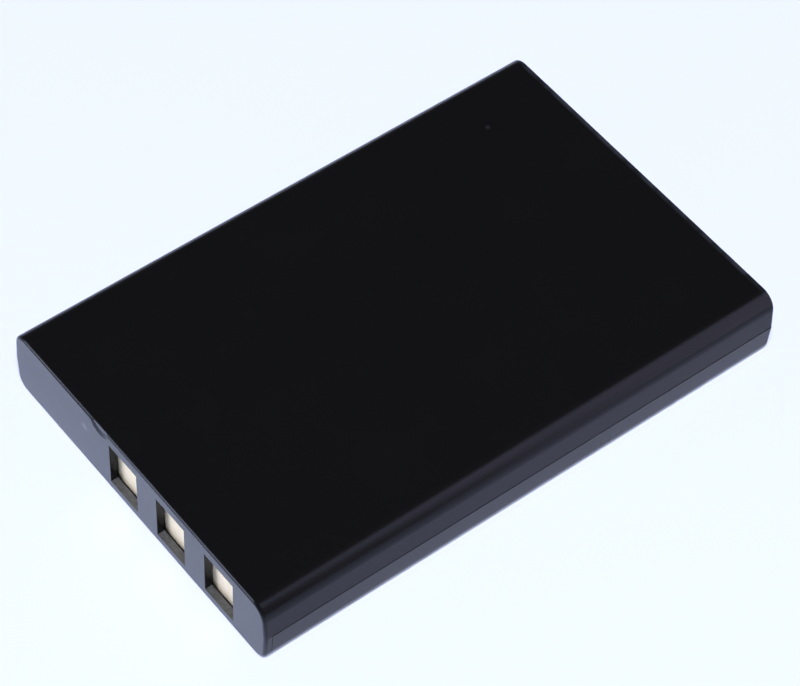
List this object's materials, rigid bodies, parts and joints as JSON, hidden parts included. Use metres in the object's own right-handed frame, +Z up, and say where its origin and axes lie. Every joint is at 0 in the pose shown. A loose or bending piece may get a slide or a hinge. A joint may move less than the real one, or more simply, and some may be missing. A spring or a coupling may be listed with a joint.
{
  "type": "camera battery",
  "caption": "Flat black rechargeable camera battery with rounded long edges, a welded two-shell case and recessed gold contacts in windows at one short end.",
  "frame": {"origin": "middle of the bottom face, on the surface that the battery lies on", "axes": "+X along the length, away from the contact end; +Y across the width; +Z up through the thickness"},
  "size_m": [0.053, 0.0352, 0.007],
  "materials": {
    "case_plastic": "fine-grained satin black moulding",
    "contact_gold": "thin gold plating, slightly brushed",
    "cell_can": "drawn aluminium, satin",
    "nickel": "rolled nickel strip",
    "board": "green solder mask over glass fibre",
    "chip_body": "moulded black resin",
    "chip_ceramic": "fired ceramic chip",
    "gasket": "translucent white polymer",
    "fuse_body": "dark conductive polymer",
    "fibre_paper": "pressed fibre paper",
    "tape": "double-sided tissue tape",
    "foam": "closed-cell foam strip"
  },
  "bodies": {
    "root": {"case_body": "case_plastic", "case_cover": "case_plastic", "contact_plus": "contact_gold", "contact_sense": "contact_gold", "contact_minus": "contact_gold", "circuit_board": "board", "protection_chip": "chip_body", "switch_chip": "chip_body", "chip_resistors": "chip_ceramic", "chip_capacitors": "chip_ceramic", "thermistor": "chip_ceramic", "cell": "cell_can", "terminal_gasket": "gasket", "negative_terminal": "nickel", "fill_plug": "cell_can", "lid_insulator": "fibre_paper", "thermal_fuse": "fuse_body", "negative_tab": "nickel", "fuse_tab": "nickel", "positive_tab": "nickel", "upper_tape": "tape", "lower_tape": "tape", "end_pad": "foam"}
  },
  "joints": []
}
